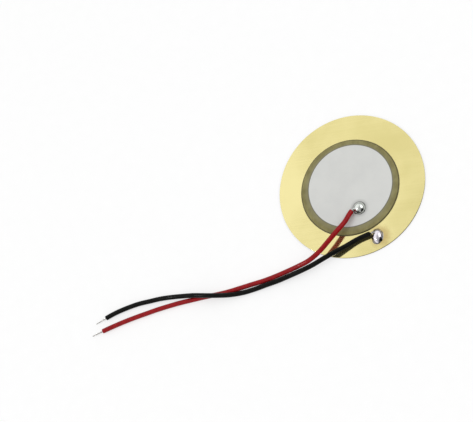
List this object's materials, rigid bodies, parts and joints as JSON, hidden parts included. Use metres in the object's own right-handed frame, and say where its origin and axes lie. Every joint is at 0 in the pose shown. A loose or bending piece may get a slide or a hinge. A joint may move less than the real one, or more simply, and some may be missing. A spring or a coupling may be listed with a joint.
{
  "type": "piezo disc",
  "caption": "Thin round brass plate with a silvered ceramic disc bonded to it and red and black leads soldered on.",
  "frame": {"origin": "centre of the brass plate's plain underside, which lies on the table", "axes": "+Z out of the ceramic side, the shortest way through the disc; -Y from the centre towards the solder joint on the brass; the leads run off towards -X"},
  "size_m": [0.09, 0.035, 0.0033],
  "materials": {
    "brass": "satin",
    "bond": "satin",
    "silver": "matte",
    "ceramic": "matte",
    "solder": "gloss",
    "tinned_wire": "satin",
    "red_insulation": "gloss",
    "black_insulation": "gloss"
  },
  "bodies": {
    "root": {"brass_plate": "brass", "bond_film": "bond", "lower_electrode": "silver", "ceramic_disc": "ceramic", "upper_electrode": "silver", "electrode_solder": "solder", "plate_solder": "solder", "red_conductor": "tinned_wire", "black_conductor": "tinned_wire", "red_lead": "red_insulation", "black_lead": "black_insulation", "red_tip": "tinned_wire", "black_tip": "tinned_wire"}
  },
  "joints": []
}
